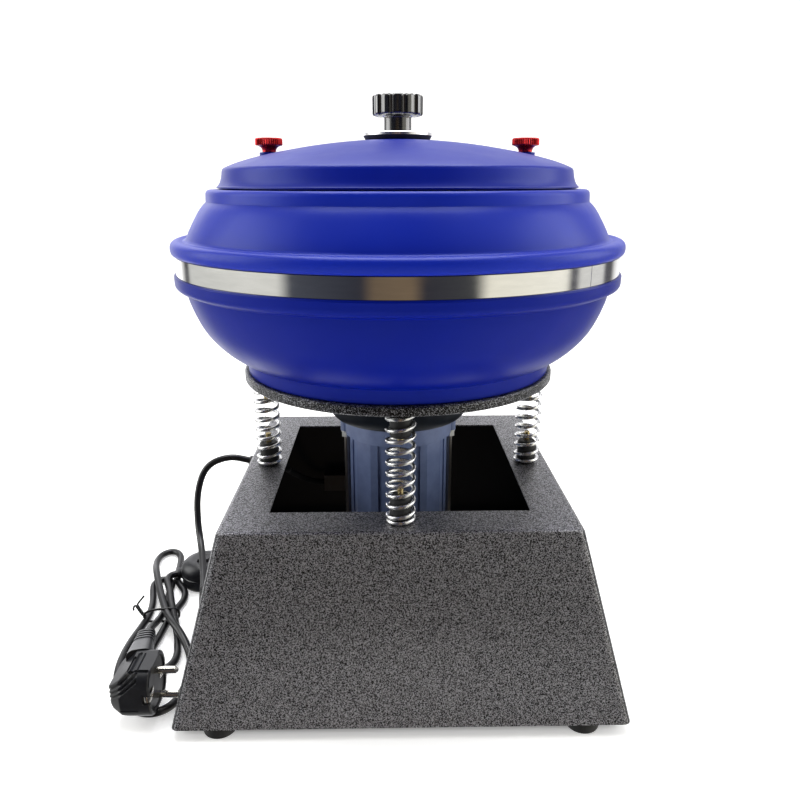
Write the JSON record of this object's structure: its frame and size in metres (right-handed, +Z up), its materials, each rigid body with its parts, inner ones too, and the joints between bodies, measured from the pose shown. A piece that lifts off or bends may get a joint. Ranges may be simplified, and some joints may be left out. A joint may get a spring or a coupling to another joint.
{
  "type": "vibratory rock tumbler",
  "caption": "Round lidded polishing bowl on a spring-mounted motor platform above an open-topped pyramid base, with a corded in-line switch.",
  "frame": {"origin": "centre of the base's footprint, on the surface that the feet stand on", "axes": "+Z up along the bowl and motor axis, -Y towards the front face, +X to the right seen from the front"},
  "size_m": [0.383, 0.311, 0.3955],
  "materials": {
    "hammertone_grey": "textured",
    "rubber_black": "matte",
    "zinc_steel": "satin",
    "yellow_zinc": "satin",
    "spring_steel": "polished",
    "motor_paint": "satin",
    "laminated_steel": "matte",
    "copper": "satin",
    "bearing_steel": "polished",
    "blue_polyurethane": "matte",
    "gasket_black": "matte",
    "stainless_polished": "polished",
    "knob_black": "glossy",
    "brass": "satin",
    "red_anodised": "anodised",
    "cord_black": "matte",
    "plastic_black": "satin",
    "nickel": "polished"
  },
  "bodies": {
    "base": {"base_shell": "hammertone_grey", "feet": "rubber_black", "foot_screws": "zinc_steel", "foot_nuts": "zinc_steel", "lower_spring_seats": "rubber_black", "lower_spring_bolts": "yellow_zinc", "lower_spring_nuts": "zinc_steel", "spring_right": "spring_steel", "spring_rear": "spring_steel", "spring_left": "spring_steel", "spring_front": "spring_steel", "cable_gland": "plastic_black", "cord_lead": "cord_black", "switch_housing": "plastic_black", "cord_hank": "cord_black", "wire_tie": "plastic_black", "plug_body": "plastic_black", "plug_pins": "nickel", "terminal_block": "plastic_black", "block_bracket": "hammertone_grey", "inner_lead": "cord_black"},
    "platform": {"support_plate": "hammertone_grey", "plate_hub": "hammertone_grey", "upper_spring_seats": "rubber_black", "upper_spring_bolts": "yellow_zinc", "motor_bell": "hammertone_grey", "bell_screws": "zinc_steel", "motor_top_cover": "motor_paint", "motor_housing": "motor_paint", "motor_stator": "laminated_steel", "motor_windings": "copper", "motor_bottom_cover": "motor_paint", "tie_rods": "zinc_steel", "tie_rod_nuts": "zinc_steel", "tie_rod_washers": "zinc_steel", "upper_bearing": "bearing_steel", "lower_bearing": "bearing_steel", "bowl_lower": "blue_polyurethane", "bowl_upper": "blue_polyurethane", "rim_gasket": "gasket_black", "clamp_band": "stainless_polished", "bowl_core": "blue_polyurethane", "center_rod": "zinc_steel", "rod_nut": "zinc_steel"},
    "rotor": {"rotor_shaft": "bearing_steel", "rotor_core": "laminated_steel", "upper_eccentric_weight": "laminated_steel", "lower_eccentric_weight": "laminated_steel", "weight_set_screws": "zinc_steel"},
    "lid": {"lid": "blue_polyurethane", "lid_seal": "gasket_black", "lid_rubber_washer": "rubber_black", "lid_steel_washer": "stainless_polished"},
    "knob": {"knob": "knob_black", "knob_insert": "brass"},
    "thumb_screw_left": {"thumb_screw_left": "red_anodised"},
    "thumb_screw_right": {"thumb_screw_right": "red_anodised"},
    "switch_rocker": {"switch_rocker": "plastic_black"}
  },
  "joints": [
    {"name": "platform_bounce", "type": "slide", "parent": "base", "child": "platform", "axis": [0, 0, 1], "range_m": [-0.008, 0.005], "stiffness_N_per_m": 36000, "springref_m": 0.00203, "deforming": ["spring_right", "spring_rear", "spring_left", "spring_front"]},
    {"name": "rotor_spin", "type": "hinge", "parent": "platform", "child": "rotor", "pos_m": [0, 0, 0.11], "axis": [0, 0, 1], "continuous": true},
    {"name": "lid_lift", "type": "slide", "parent": "platform", "child": "lid", "axis": [0, 0, 1], "range_m": [0, 0.12]},
    {"name": "knob_turn", "type": "hinge", "parent": "lid", "child": "knob", "pos_m": [0, 0, 0.385], "axis": [0, 0, 1], "continuous": true},
    {"name": "thumb_left_turn", "type": "hinge", "parent": "lid", "child": "thumb_screw_left", "pos_m": [-0.088, 0, 0.36], "axis": [0, 0, 1], "continuous": true},
    {"name": "thumb_right_turn", "type": "hinge", "parent": "lid", "child": "thumb_screw_right", "pos_m": [0.088, 0, 0.36], "axis": [0, 0, 1], "continuous": true},
    {"name": "switch_rock", "type": "hinge", "parent": "base", "child": "switch_rocker", "pos_m": [-0.17, 0.042, 0.0216], "axis": [1, 0, 0], "range_deg": [0, 14]}
  ]
}
